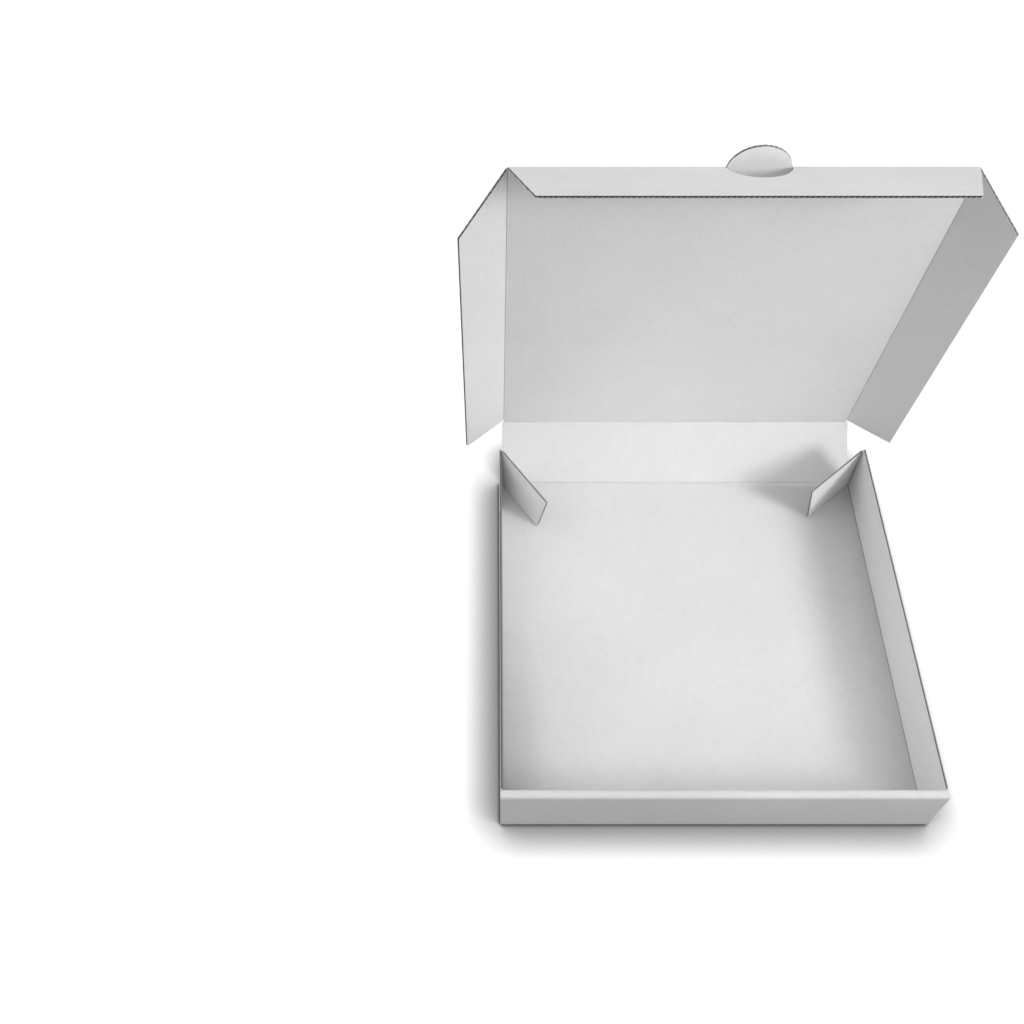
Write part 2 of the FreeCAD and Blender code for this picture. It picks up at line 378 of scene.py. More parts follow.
@dataclass(frozen=True)
class LinerFinish:
    """White coated liner: faint clouding, paper fibre and the flutes showing through.

    Attributes:
        across: The direction that crosses the flutes, in the object's own space.
        tint: The paper's colour.
        shade: The colour in the slightly greyer clouds.
        cloud_scale: Clouds to a metre.
        cloud_edges: The noise levels where a cloud starts and is full.
        fibre_scale: Paper fibres to a metre.
        speck_scale: Specks to a metre.
        speck_edges: The noise levels where a speck is full and ends.
        speck_dark: How bright a speck is, as a share of the paper.
        flute_dark: How much darker the paper is over a flute's valley, as a share.
        flute_bump: How far the flutes lift the liner, in metres.
        fibre_bump: How far the fibres lift the liner, in metres.
        roughness: The roughness between fibres and on them.
        specular: How strongly the coating shines.
    """

    across: tuple[float, float, float] = (1.0, 0.0, 0.0)
    tint: tuple[float, float, float] = (0.745, 0.750, 0.745)
    shade: tuple[float, float, float] = (0.708, 0.713, 0.706)
    cloud_scale: float = 9.0
    cloud_edges: tuple[float, float] = (0.36, 0.66)
    fibre_scale: float = 620.0
    speck_scale: float = 217.0
    speck_edges: tuple[float, float] = (0.30, 0.52)
    speck_dark: float = 0.972
    flute_dark: float = 0.003
    flute_bump: float = 0.010 * MILLIMETRE
    fibre_bump: float = 0.030 * MILLIMETRE
    roughness: tuple[float, float] = (0.62, 0.78)
    specular: float = 0.22

    def material(self, name: str) -> bpy.types.Material:
        """Build the material.

        Args:
            name: The material's name.

        Returns:
            The material.
        """
        tree = NodeTree(bpy.data.materials.new(name))
        place = tree.add("ShaderNodeTexCoord")
        fibres = tree.add(
            "ShaderNodeTexNoise", Scale=self.fibre_scale, Detail=5.0, Roughness=0.62
        )
        tree.link(place, "Object", fibres, "Vector")
        ripple = self.ripple(tree, place)
        self.colour(tree, place, ripple)
        self.surface(tree, fibres, ripple)
        return tree.owner

    def ripple(self, tree: NodeTree, place: bpy.types.Node) -> tuple[bpy.types.Node, str]:
        """The flutes as a wave across the liner.

        Args:
            tree: The material's nodes.
            place: The node with the place on the surface.

        Returns:
            The wave's node, with the name of its output.
        """
        crossing = tree.add("ShaderNodeVectorMath", operation="DOT_PRODUCT")
        crossing.inputs[1].default_value = self.across
        tree.link(place, "Object", crossing, 0)
        phase = tree.compute("MULTIPLY", (crossing, "Value"), 2 * math.pi / MAKEUP.pitch)
        return tree.compute("SINE", phase)

    def colour(
        self, tree: NodeTree, place: bpy.types.Node, ripple: tuple[bpy.types.Node, str]
    ) -> None:
        """Cloud, speck and stripe the paper's colour.

        Args:
            tree: The material's nodes.
            place: The node with the place on the surface.
            ripple: The flutes' wave.
        """
        clouds = tree.add(
            "ShaderNodeTexNoise", Scale=self.cloud_scale, Detail=4.0, Roughness=0.55
        )
        specks = tree.add("ShaderNodeTexNoise", Scale=self.speck_scale, Detail=2.0)
        for texture in (clouds, specks):
            tree.link(place, "Object", texture, "Vector")
        cloud_low, cloud_high = self.cloud_edges
        spread = tree.add(
            "ShaderNodeMapRange", clamp=True, From_Min=cloud_low, From_Max=cloud_high
        )
        tree.link(clouds, "Fac", spread, "Value")
        tone = tree.add("ShaderNodeMix", data_type="RGBA")
        tone.inputs["A"].default_value = (*self.shade, 1)
        tone.inputs["B"].default_value = (*self.tint, 1)
        tree.link(spread, "Result", tone, 0)
        speck_low, speck_high = self.speck_edges
        speckle = tree.add(
            "ShaderNodeMapRange",
            clamp=True,
            From_Min=speck_low,
            From_Max=speck_high,
            To_Min=self.speck_dark,
            To_Max=1.0,
        )
        tree.link(specks, "Fac", speckle, "Value")
        striped = tree.compute("MULTIPLY_ADD", ripple, self.flute_dark, (speckle, "Result"))
        mottled = tree.add("ShaderNodeVectorMath", operation="SCALE")
        tree.link(tone, "Result", mottled, 0)
        tree.link(*striped, mottled, "Scale")
        tree.link(mottled, "Vector", tree.shader, "Base Color")

    def surface(
        self, tree: NodeTree, fibres: bpy.types.Node, ripple: tuple[bpy.types.Node, str]
    ) -> None:
        """Set the paper's roughness, relief and shine.

        Args:
            tree: The material's nodes.
            fibres: The noise of the fibres.
            ripple: The flutes' wave.
        """
        smoothest, roughest = self.roughness
        matt = tree.add("ShaderNodeMapRange", To_Min=smoothest, To_Max=roughest)
        tree.link(fibres, "Fac", matt, "Value")
        tree.link(matt, "Result", tree.shader, "Roughness")
        flute_bump = tree.add("ShaderNodeBump", Strength=1.0, Distance=self.flute_bump)
        tree.link(*ripple, flute_bump, "Height")
        fibre_bump = tree.add("ShaderNodeBump", Strength=1.0, Distance=self.fibre_bump)
        tree.link(fibres, "Fac", fibre_bump, "Height")
        tree.link(flute_bump, "Normal", fibre_bump, "Normal")
        tree.link(fibre_bump, "Normal", tree.shader, "Normal")
        tree.shader.inputs["Specular IOR Level"].default_value = self.specular


@dataclass(frozen=True)
class MediumFinish:
    """Grey recycled paper of the flutes, seen at the cut edges.

    Attributes:
        light: The paper's lighter colour.
        dark: The paper's darker colour.
        fibre_scale: Paper fibres to a metre.
        fibre_bump: How far the fibres lift the paper, in metres.
        roughness: How rough the paper is.
        specular: How strongly it shines.
    """

    light: tuple[float, float, float] = (0.30, 0.29, 0.275)
    dark: tuple[float, float, float] = (0.12, 0.115, 0.11)
    fibre_scale: float = 1400.0
    fibre_bump: float = 0.05 * MILLIMETRE
    roughness: float = 0.9
    specular: float = 0.15

    def material(self, name: str) -> bpy.types.Material:
        """Build the material.

        Args:
            name: The material's name.

        Returns:
            The material.
        """
        tree = NodeTree(bpy.data.materials.new(name))
        place = tree.add("ShaderNodeTexCoord")
        fibres = tree.add("ShaderNodeTexNoise", Scale=self.fibre_scale, Detail=4.0, Roughness=0.7)
        tree.link(place, "Object", fibres, "Vector")
        tone = tree.add("ShaderNodeMix", data_type="RGBA")
        tone.inputs["A"].default_value = (*self.dark, 1)
        tone.inputs["B"].default_value = (*self.light, 1)
        tree.link(fibres, "Fac", tone, 0)
        tree.link(tone, "Result", tree.shader, "Base Color")
        rough = tree.add("ShaderNodeBump", Strength=0.8, Distance=self.fibre_bump)
        tree.link(fibres, "Fac", rough, "Height")
        tree.link(rough, "Normal", tree.shader, "Normal")
        tree.shader.inputs["Roughness"].default_value = self.roughness
        tree.shader.inputs["Specular IOR Level"].default_value = self.specular
        return tree.owner


@dataclass(frozen=True)
class GroundFinish:
    """White ground with painted shade beside the tray on top of its faint real shadow, white
    elsewhere and clear from below.

    Attributes:
        tone: How light the ground is under the lamps.
        lift: How bright its own white is where the camera sees it.
        painted_shade_reach: How far the painted soft shade beside the tray reaches, in metres.
        painted_shade_depth: How fast that painted shade deepens towards the tray.
        painted_line_reach: How far the painted dark shade line at the tray's foot reaches, in
            metres.
        painted_line_depth: How fast that painted line deepens.
        samples: Rays for each point of the shade.
    """

    tone: float = 0.23
    lift: float = 0.86
    painted_shade_reach: float = 0.029
    painted_shade_depth: float = 3.0
    painted_line_reach: float = 3.0 * MILLIMETRE
    painted_line_depth: float = 2.0
    samples: int = 16

    def material(self, name: str) -> bpy.types.Material:
        """Build the material.

        Args:
            name: The material's name.

        Returns:
            The material.
        """
        tree = NodeTree(bpy.data.materials.new(name))
        tree.nodes.clear()
        # Painted dark shade line at the tray's foot, darkening the ground's colour and glow
        line = self.painted_shade_falloff(tree, self.painted_line_reach, self.painted_line_depth)
        matt = tree.add("ShaderNodeBsdfDiffuse")
        tree.link(*tree.compute("MULTIPLY", line, self.tone), matt, "Color")
        # Painted soft shade beside the tray, dimming the glow on top of the real shadow
        shade = self.painted_shade_falloff(tree, self.painted_shade_reach, self.painted_shade_depth)
        lift = tree.compute("MULTIPLY", shade, self.lift)
        painted_shade_lift = tree.compute("MULTIPLY", lift, line)
        glow = tree.add("ShaderNodeEmission", Color=(1, 1, 1, 1))
        tree.link(*tree.compute("MULTIPLY", tree.looked_at(), painted_shade_lift), glow, "Strength")
        both = tree.add("ShaderNodeAddShader")
        tree.link(matt, 0, both, 0)
        tree.link(glow, 0, both, 1)
        side = tree.add("ShaderNodeNewGeometry")
        one_sided = tree.add("ShaderNodeMixShader")
        tree.link(side, "Backfacing", one_sided, 0)
        tree.link(both, 0, one_sided, 1)
        tree.link(tree.add("ShaderNodeBsdfTransparent"), 0, one_sided, 2)
        tree.link(one_sided, 0, tree.add("ShaderNodeOutputMaterial"), "Surface")
        return tree.owner

    def painted_shade_falloff(self, tree: NodeTree, reach: float, depth: float) -> tuple[bpy.types.Node, str]:
        """A painted-shade value from ambient occlusion that falls from 1 towards 0 beside the
        tray.

        Args:
            tree: The material's nodes.
            reach: How far from the tray it starts to fall, in metres.
            depth: The power it is raised to.

        Returns:
            The node, with the name of its output.
        """
        near = tree.add("ShaderNodeAmbientOcclusion", samples=self.samples, Distance=reach)
        return tree.compute("POWER", (near, "AO"), depth)


@dataclass
class Palette:
    """The finishes of the board, made once for each way the flutes run.

    Attributes:
        outside_tint: The outer paper's colour.
        outside_shade: The outer paper's colour in its clouds.
        groove_shade: The colour in the clouds of the darker crease and score finish, as shares of
            its own.
        liners: The liner finishes made so far.
        painted_groove_shades: The darker painted-shade finishes made so far.
        medium: The flutes' finish, once it is made.
    """

    outside_tint: tuple[float, float, float] = (0.735, 0.738, 0.748)
    outside_shade: tuple[float, float, float] = (0.685, 0.688, 0.700)
    groove_shade: tuple[float, float, float] = (0.86, 0.86, 0.85)
    liners: dict[tuple[Face, str], bpy.types.Material] = field(default_factory=dict)
    painted_groove_shades: dict[float, bpy.types.Material] = field(default_factory=dict)
    medium: bpy.types.Material | None = None

    def liner(self, side: Face, way: str, across: Vector) -> bpy.types.Material:
        """The liner finish for one side and flute direction.

        Args:
            side: Inside or outside of the board.
            way: A word for the flute direction.
            across: The direction that crosses the flutes.

        Returns:
            The material.
        """
        if (side, way) not in self.liners:
            finish = LinerFinish(tuple(across))
            if side is Face.OUTSIDE:
                finish = replace(finish, tint=self.outside_tint, shade=self.outside_shade)
            self.liners[side, way] = finish.material(f"{side.value}_liner_{way}")
        return self.liners[side, way]

    def painted_groove_shade(self, level: float) -> bpy.types.Material:
        """The darker finish of a pressed crease or score line, as painted shade.

        Args:
            level: How light it is.

        Returns:
            The material.
        """
        if level not in self.painted_groove_shades:
            shade = tuple(level * share for share in self.groove_shade)
            # A darker copy of the white liner: painted shade for creases and score lines
            finish = LinerFinish(tint=(level, level, level), shade=shade, flute_bump=0)
            self.painted_groove_shades[level] = finish.material(f"painted_shade_groove_{round(100 * level)}")
        return self.painted_groove_shades[level]

    def fluting(self) -> bpy.types.Material:
        """The finish of the fluted paper.

        Returns:
            The material.
        """
        if self.medium is None:
            self.medium = MediumFinish().material("fluted_medium")
        return self.medium


PALETTE = Palette()


# The folded sheet


@dataclass(frozen=True)
class Lay:
    """How one panel of the sheet lies in space.

    Attributes:
        crease: A point on the inner-face line of its crease.
        away: The direction in the panel away from its crease.
        inner: The normal of its inner face.
    """

    crease: Vector
    away: Vector
    inner: Vector

    @property
    def along(self) -> Vector:
        """The direction of the crease."""
        return self.away.cross(self.inner)

    def folded(self, point: Vector, degrees: float, away: Vector | None = None) -> "Lay":
        """The lay of a panel hinged to this one and folded towards the inside.

        Args:
            point: A point on the new crease.
            degrees: The fold, counted from flat.
            away: The direction that crosses the new crease, in this panel.

        Returns:
            The new panel's lay.
        """
        start = away if away is not None else self.away
        axis = start.cross(self.inner)
        return Lay(point, turned(start, axis, degrees), turned(self.inner, axis, degrees))


@dataclass
class Blank:
    """The sheet's panels as they lie at rest, worked out from the frame's joints.

    Attributes:
        joints: The frame's joints by name.
        square: The fold of a square corner, in degrees.
    """

    joints: dict[str, dict] = field(
        default_factory=lambda: {joint["name"]: joint for joint in frame["joints"]}
    )
    square: float = 90.0

    def hinged(self, lay: Lay, joint: str, away: Vector | None = None) -> Lay:
        """The lay of a panel that a crease joins to another and that can open flat.

        Args:
            lay: The lay of the panel before the crease.
            joint: The crease's joint.
            away: The direction that crosses the crease, in that panel.

        Returns:
            The lay of the panel after the crease.
        """
        return lay.folded(self.point(joint), self.open_fold(joint), away)

    def point(self, joint: str) -> Vector:
        """A point on a joint's axis."""
        return Vector(self.joints[joint]["pos_m"])

    def open_fold(self, joint: str) -> float:
        """The fold at rest of a crease whose range ends flat."""
        return self.joints[joint]["range_deg"][1]

    def corner_fold(self, joint: str) -> float:
        """The fold at rest of a crease whose range starts square."""
        return self.square - self.joints[joint]["range_deg"][0]

    def floor(self) -> Lay:
        """The lay of the floor panel."""
        return Lay(Vector((0, 0, MAKEUP.thickness)), Y_AXIS, Z_AXIS)

    def back(self) -> Lay:
        """The lay of the back wall."""
        return self.hinged(self.floor(), "back_wall_crease")

    def lid(self) -> Lay:
        """The lay of the lid's panel."""
        return self.hinged(self.back(), "lid_crease")

    def front_flap(self) -> Lay:
        """The lay of the lid's front flap."""
        return self.hinged(self.lid(), "front_flap_crease")

    def side_flap(self, side: Side) -> Lay:
        """The lay of one of the lid's side flaps."""
        return self.hinged(self.lid(), f"side_flap_{side.value}_crease", side.outwards)

    def side_wall(self, side: Side) -> Lay:
        """The lay of a side wall, from the crease at its rear end."""
        return Lay(self.point(f"corner_flap_{side.value}_crease"), Y_AXIS, -side.outwards)

    def corner_flap(self, side: Side) -> Lay:
        """The lay of one of the rear corner flaps."""
        joint = f"corner_flap_{side.value}_crease"
        return self.side_wall(side).folded(self.point(joint), self.corner_fold(joint))


BLANK = Blank()


@dataclass
class BoardPanel:
    """A flat panel of corrugated board: two liners with the fluted paper between them.

    Attributes:
        node: The frame node it stands for.
        body: The body it rides on.
        lay: How the panel lies.
        across: The direction that crosses the flutes.
        way: A word for the flute direction.
        channel: How deep the cut edges are opened, in metres.
        makeup: The layers of the board.
    """

    node: str
    body: str
    lay: Lay
    across: Vector
    way: str
    channel: float = 2.4 * MILLIMETRE
    makeup: Makeup = MAKEUP

    def build(self) -> list[bpy.types.Object]:
        """Build the liners and the flutes.

        Returns:
            The two pieces.
        """
        liners = self.liners()
        flutes = self.flutes()
        for piece in (liners, flutes):
            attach(piece, self.body)
        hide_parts(self.node)
        return [liners, flutes]

    def liners(self) -> bpy.types.Object:
        """The two paper faces, with the cut edges opened to the fluted core.

        Returns:
            The piece.
        """
        inner = self.lay.inner
        piece = copy_of_node(self.node, f"{self.node}_liners")
        piece.data.materials.append(PALETTE.liner(Face.INSIDE, self.way, self.across))
        piece.data.materials.append(PALETTE.liner(Face.OUTSIDE, self.way, self.across))
        with edit_mode(piece):
            pick_faces(piece, lambda face: abs(face.normal.dot(inner)) < EDGEWISE)
            bpy.ops.mesh.inset(
                thickness=self.makeup.liner,
                depth=-self.channel,
                use_boundary=True,
                use_even_offset=True,
            )
        middle = self.lay.crease - inner * self.makeup.thickness / 2
        for face in piece.data.polygons:
            face.material_index = 0 if (face.center - middle).dot(inner) > 0 else 1
        return piece

    def flutes(self) -> bpy.types.Object:
        """The fluted paper, trimmed to the outline of the frame node.

        Returns:
            The piece.
        """
        inner = self.lay.inner
        across = self.across.normalized()
        along = inner.cross(across)
        corners = [vertex.co for vertex in frame["nodes"][self.node].data.vertices]
        span = [(point - self.lay.crease).dot(across) for point in corners]
        reach = [(point - self.lay.crease).dot(along) for point in corners]
        margin = self.makeup.pitch
        count = round((max(span) - min(span) + 2 * margin) / self.makeup.pitch)
        middle = (
            self.lay.crease
            + across * (max(span) + min(span)) / 2
            + along * (max(reach) + min(reach)) / 2
            - inner * self.makeup.thickness / 2
        )
        turn = Matrix((across, along, inner)).transposed().to_4x4()
        width, length = count * self.makeup.pitch, max(reach) - min(reach) + 2 * margin
        size = Matrix.Diagonal((width, length, 1, 1))
        bpy.ops.mesh.primitive_grid_add(x_subdivisions=2 * count, y_subdivisions=1, size=1)
        piece = bpy.context.active_object
        piece.name = f"{self.node}_flutes"
        step = 1.0 / (2 * count)
        # The subdivision below leaves a third of the zigzag's height
        swing = 3 * (self.makeup.core - self.makeup.medium)
        with edit_mode(piece):
            pick_points(piece, lambda place: round((place.x + 0.5) / step) % 2 == 1)
            bpy.ops.transform.translate(value=(0, 0, swing / 2))
            pick_points(piece, lambda place: round((place.x + 0.5) / step) % 2 == 0)
            bpy.ops.transform.translate(value=(0, 0, -swing / 2))
        piece.matrix_world = Matrix.Translation(middle) @ turn @ size
        bake_place(piece)
        add_modifier(piece, "SUBSURF", levels=2, render_levels=2)
        add_modifier(piece, "SOLIDIFY", thickness=self.makeup.medium, offset=0.0)
        outline = copy_of_node(self.node, f"{self.node}_outline")
        add_modifier(piece, "BOOLEAN", operation="INTERSECT", object=outline, solver="EXACT")
        bpy.data.objects.remove(outline)
        piece.data.materials.clear()
        piece.data.materials.append(PALETTE.fluting())
        smooth(piece, degrees=50)
        return piece


@dataclass
class Crease:
    """The rounded fold between two panels.

    Attributes:
        name: The piece's name.
        bodies: The body before the fold and the body after it; not used.
        before: The lay of the panel before the fold.
        after: The lay of the panel after it.
        ends: Where the crease starts and stops, measured along it.
        lead: How far it reaches from its axis into the gap before it and after it.
        painted_groove_shade: How light the pressed inner side is painted, as shade in the crease.
        press: How deep the inner side is pressed in, in metres.
        pinch: How flat the upper end of an upright fold is crushed, as a share of its depth.
        pinch_height: How far down from its upper end the crushing reaches, in metres.
        steps: How many facets the fold has.
        seam_reach: How near two points of it lie to be merged, in metres.
        rim_share: How much of a paper's depth counts as paper where the fold is cut.
        makeup: The layers of the board.
    """

    name: str
    bodies: tuple[str, str]
    before: Lay
    after: Lay
    ends: tuple[float, float]
    lead: tuple[float, float] = (0.15 * MILLIMETRE, 0.15 * MILLIMETRE)
    painted_groove_shade: float = 0.60
    press: float = MAKEUP.crease_press
    pinch: float = 1.0
    pinch_height: float = 4.3 * MILLIMETRE
    steps: int = 10
    seam_reach: float = 0.002 * MILLIMETRE
    rim_share: float = 0.9
    makeup: Makeup = MAKEUP

    def build(self) -> bpy.types.Object:
        """Build the fold.

        Returns:
            The piece.
        """
        axis_point = self.after.crease
        axis = self.after.along
        start = self.start_direction()
        outer = -self.before.inner
        fold = start.angle(self.after.away)
        length = self.ends[1] - self.ends[0]
        height = self.makeup.crease_thickness - self.press
        middle = (
            axis_point
            + axis * (self.ends[0] + self.ends[1]) / 2
            + outer * (self.press + height / 2)
            - start * self.lead[0]
        )
        turn = Matrix((axis, outer, axis.cross(outer))).transposed().to_4x4()
        bpy.ops.mesh.primitive_plane_add(size=1)
        piece = bpy.context.active_object
        piece.name = self.name
        size = Matrix.Diagonal((length, height, 1, 1))
        piece.matrix_world = Matrix.Translation(middle) @ turn @ size
        bake_place(piece)
        with edit_mode(piece):
            bpy.ops.mesh.select_all(action="SELECT")
            bpy.ops.mesh.extrude_region_move(
                TRANSFORM_OT_translate={"value": start * self.lead[0]}
            )
            bpy.ops.mesh.spin(steps=self.steps, angle=-fold, center=axis_point, axis=axis)
            bpy.ops.mesh.extrude_region_move(
                TRANSFORM_OT_translate={"value": self.after.away * self.lead[1]}
            )
            bpy.ops.mesh.select_all(action="SELECT")
            bpy.ops.mesh.remove_doubles(threshold=self.seam_reach)
            bpy.ops.mesh.normals_make_consistent(inside=False)
            pick_faces(piece, lambda face: abs(face.normal.dot(axis)) > FACING)
            bpy.ops.mesh.inset(thickness=self.makeup.liner, depth=0)
            if self.pinch < 1:
                self.crush_top(piece, axis_point)
        smooth(piece, degrees=40)
        self.dress(piece, axis_point, axis)
        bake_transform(piece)
        return piece

    def crush_top(self, piece: bpy.types.Object, point: Vector) -> None:
        """Crush the upper end of an upright fold flatter towards its axis, in edit mode.

        Args:
            piece: The fold.
            point: A point on its axis.
        """
        top = max(vertex.co.z for vertex in bmesh.from_edit_mesh(piece.data).verts)
        bpy.ops.mesh.select_all(action="SELECT")
        bpy.ops.mesh.bisect(plane_co=(0, 0, top - self.pinch_height), plane_no=Z_AXIS)
        pick_points(piece, lambda place: place.z > top - 2 * POINT_REACH)
        bpy.ops.transform.resize(value=(1, self.pinch, 1), center_override=point)

    def dress(self, piece: bpy.types.Object, point: Vector, axis: Vector) -> None:
        """Give the fold its outer liner, a darker finish on its pressed inner side as painted
        shade, and its cut ends.

        Args:
            piece: The fold.
            point: A point on its axis.
            axis: The direction of its axis.
        """
        piece.data.materials.append(PALETTE.liner(Face.OUTSIDE, "crease", axis))
        piece.data.materials.append(PALETTE.painted_groove_shade(self.painted_groove_shade))
        piece.data.materials.append(PALETTE.fluting())
        rim = self.press + self.makeup.liner
        for face in piece.data.polygons:
            arm = face.center - point
            radius = (arm - axis * arm.dot(axis)).length
            if abs(face.normal.dot(axis)) > FACING:
                core_top = self.makeup.crease_thickness - self.makeup.liner * self.rim_share
                face.material_index = 2 if rim * self.rim_share < radius < core_top else 0
            else:
                # Faces near the axis on the inner side get the darker finish: painted shade in
                # the crease
                face.material_index = 1 if radius < rim else 0

    def start_direction(self) -> Vector:
        """The direction in the first panel that crosses the crease."""
        return self.after.along.cross(self.before.inner) * -1


# The sub-assemblies


@dataclass
class Tray:
    """The folded tray: floor, side walls, rolled front wall and front tuck flaps.

    Attributes:
        node: The frame node it stands for.
        body: The body it rides on.
        channel: How deep the cut edges are opened, in metres.
        score_inset: The gap between a side wall and its score line, in metres.
        score_width: The width of a score line, in metres.
        score_slope: The share of that width that its sloping sides take.
        score_depth: How deep it is pressed, in metres.
        painted_score_shade: How light it is, a darker tone that paints the shade at the wall's
            foot.
        cut_area: The smallest top edge that is opened, in square metres.
        end_foot: The height above which a side wall's rear end is opened, in metres.
        roll_end_depth: How far back the rolled wall's open ends reach, in metres.
        roll_depth: How far back the rolled wall's outer paper reaches, in metres.
        skin: How far from the outside a face still has the outer paper, in metres.
        sideways: The least that a normal follows the side's direction on a side wall.
        flat_angle: The bend below which neighbouring faces are merged, in degrees.
        makeup: The layers of the board.
    """

    node: str = "base_tray"
    body: str = "tray"
    channel: float = 1.1 * MILLIMETRE
    score_inset: float = 0.05 * MILLIMETRE
    score_width: float = 0.80 * MILLIMETRE
    score_slope: float = 0.15
    score_depth: float = 0.55 * MILLIMETRE
    painted_score_shade: float = 0.34
    cut_area: float = 200 * MILLIMETRE**2
    end_foot: float = 5 * MILLIMETRE
    roll_end_depth: float = 8 * MILLIMETRE
    roll_depth: float = 7 * MILLIMETRE
    skin: float = 0.3 * MILLIMETRE
    sideways: float = 0.7
    flat_angle: float = 0.5
    makeup: Makeup = MAKEUP
    CORE: ClassVar[int] = 4
    SCORE: ClassVar[int] = 5

    def build(self) -> list[bpy.types.Object]:
        """Build the tray's board with open cut edges and pressed score lines.

        Returns:
            The pieces.
        """
        low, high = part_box(self.node)
        piece = copy_of_node(self.node, "tray_board")
        with edit_mode(piece):
            bpy.ops.mesh.select_all(action="SELECT")
            bpy.ops.mesh.dissolve_limited(angle_limit=math.radians(self.flat_angle))
        for way, across in (("x", X_AXIS), ("z", Z_AXIS)):
            for side in Face:
                piece.data.materials.append(PALETTE.liner(side, way, across))
        piece.data.materials.append(PALETTE.fluting())
        piece.data.materials.append(PALETTE.painted_groove_shade(self.painted_score_shade))
        self.press_scores(piece, high)
        self.open_edges(piece, low, high)
        smooth(piece)
        self.dress(piece, low, high)
        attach(piece, self.body)
        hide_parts(self.node)
        return [piece]

    def press_scores(self, piece: bpy.types.Object, high: Vector) -> None:
        """Press the score lines into the floor beside the side walls, and give them a darker
        finish as painted shade.

        Args:
            piece: The tray's mesh.
            high: The tray's highest corner.
        """
        floor_top = self.makeup.thickness
        wall_face = high.x - self.makeup.thickness
        outer_line = wall_face - self.score_inset
        inner_line = outer_line - self.score_width

        def on_floor(face: bmesh.types.BMFace) -> bool:
            """True for the floor's upper face."""
            level = abs(face.calc_center_median().z - floor_top) < PLANE_REACH
            return level and face.normal.z > FACING

        with edit_mode(piece):
            for side in (-1, 1):
                for line in (outer_line, inner_line):
                    pick_faces(piece, on_floor)
                    bpy.ops.mesh.bisect(plane_co=(side * line, 0, 0), plane_no=X_AXIS)
            pick_faces(
                piece,
                lambda face: on_floor(face)
                and inner_line < abs(face.calc_center_median().x) < outer_line,
            )
            bpy.ops.mesh.inset(
                thickness=self.score_width * self.score_slope, depth=-self.score_depth
            )
            # The score lines get the darker finish: painted shade along the walls' foot
            piece.active_material_index = self.SCORE
            bpy.ops.object.material_slot_assign()

    def open_edges(self, piece: bpy.types.Object, low: Vector, high: Vector) -> None:
        """Open the cut edges, so the core shows between the two liners.

        Args:
            piece: The tray's mesh.
            low: The tray's lowest corner.
            high: The tray's highest corner.
        """
        wall_face = high.x - self.makeup.thickness
        roll_back = low.y + self.roll_end_depth

        def wall_top(face: bmesh.types.BMFace) -> bool:
            """Whether a face is the top edge of a side wall.

            Args:
                face: The face.

            Returns:
                True if it is.
            """
            centre = face.calc_center_median()
            high_up = abs(centre.z - high.z) < PLANE_REACH and face.normal.z > FACING
            return high_up and abs(centre.x) > wall_face and face.calc_area() > self.cut_area

        def wall_end(face: bmesh.types.BMFace) -> bool:
            """Whether a face is the rear end of a side wall.

            Args:
                face: The face.

            Returns:
                True if it is.
            """
            centre = face.calc_center_median()
            on_wall = abs(centre.x) > wall_face and centre.z > self.end_foot
            return on_wall and centre.y > 0 and face.normal.y > FACING

        def roll_end(face: bmesh.types.BMFace) -> bool:
            """Whether a face is an end of the rolled front wall.

            Args:
                face: The face.

            Returns:
                True if it is.
            """
            centre = face.calc_center_median()
            outermost = abs(abs(centre.x) - high.x) < PLANE_REACH
            return outermost and abs(face.normal.x) > FACING and centre.y < roll_back

        with edit_mode(piece):
            for test in (wall_top, wall_end, roll_end):
                count = pick_faces(piece, test)
                log.info("tray edges opened: %s %d", test.__name__, count)
                if count:
                    bpy.ops.mesh.inset(
                        thickness=self.makeup.liner, depth=-self.channel, use_individual=True
                    )
                    piece.active_material_index = self.CORE
                    bpy.ops.object.material_slot_assign()

    def dress(self, piece: bpy.types.Object, low: Vector, high: Vector) -> None:
        """Give each face the liner of its side and flute direction.

        Args:
            piece: The tray's mesh.
            low: The tray's lowest corner.
            high: The tray's highest corner.
        """
        for face in piece.data.polygons:
            if face.material_index in (self.CORE, self.SCORE):
                continue
            outside = (
                face.center.z < self.skin
                or abs(face.center.x) > high.x - self.skin
                or face.center.y < low.y + self.roll_depth
            )
            sideways = abs(face.normal.x) > self.sideways
            face.material_index = (1 if outside else 0) + (2 if sideways else 0)


@dataclass
class BackWall:
    """The back wall and its crease to the tray.

    Attributes:
        node: The frame node it stands for.
        body: The body it rides on.
    """

    node: str = "back_wall"
    body: str = "back"

    def build(self) -> list[bpy.types.Object]:
        """Build the wall and the fold below it.

        Returns:
            The pieces.
        """
        low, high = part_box(self.node)
        lay = BLANK.back()
        panel = BoardPanel(self.node, self.body, lay, X_AXIS, "x")
        fold = Crease(
            "back_wall_fold", ("tray", self.body), BLANK.floor(), lay, (low.x, high.x)
        )
        return [*panel.build(), fold.build()]


@dataclass
class Lid:
    """The lid's panel with its thumb tab, and the crease to the back wall.

    Attributes:
        node: The frame node it stands for.
        body: The body it rides on.
    """

    node: str = "lid_panel"
    body: str = "lid"

    def build(self) -> list[bpy.types.Object]:
        """Build the panel and the fold at its rear.

        Returns:
            The pieces.
        """
        low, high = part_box(self.node)
        lay = BLANK.lid()
        panel = BoardPanel(self.node, self.body, lay, X_AXIS, "x")
        fold = Crease("lid_fold", ("back", self.body), BLANK.back(), lay, (low.x, high.x))
        return [*panel.build(), fold.build()]


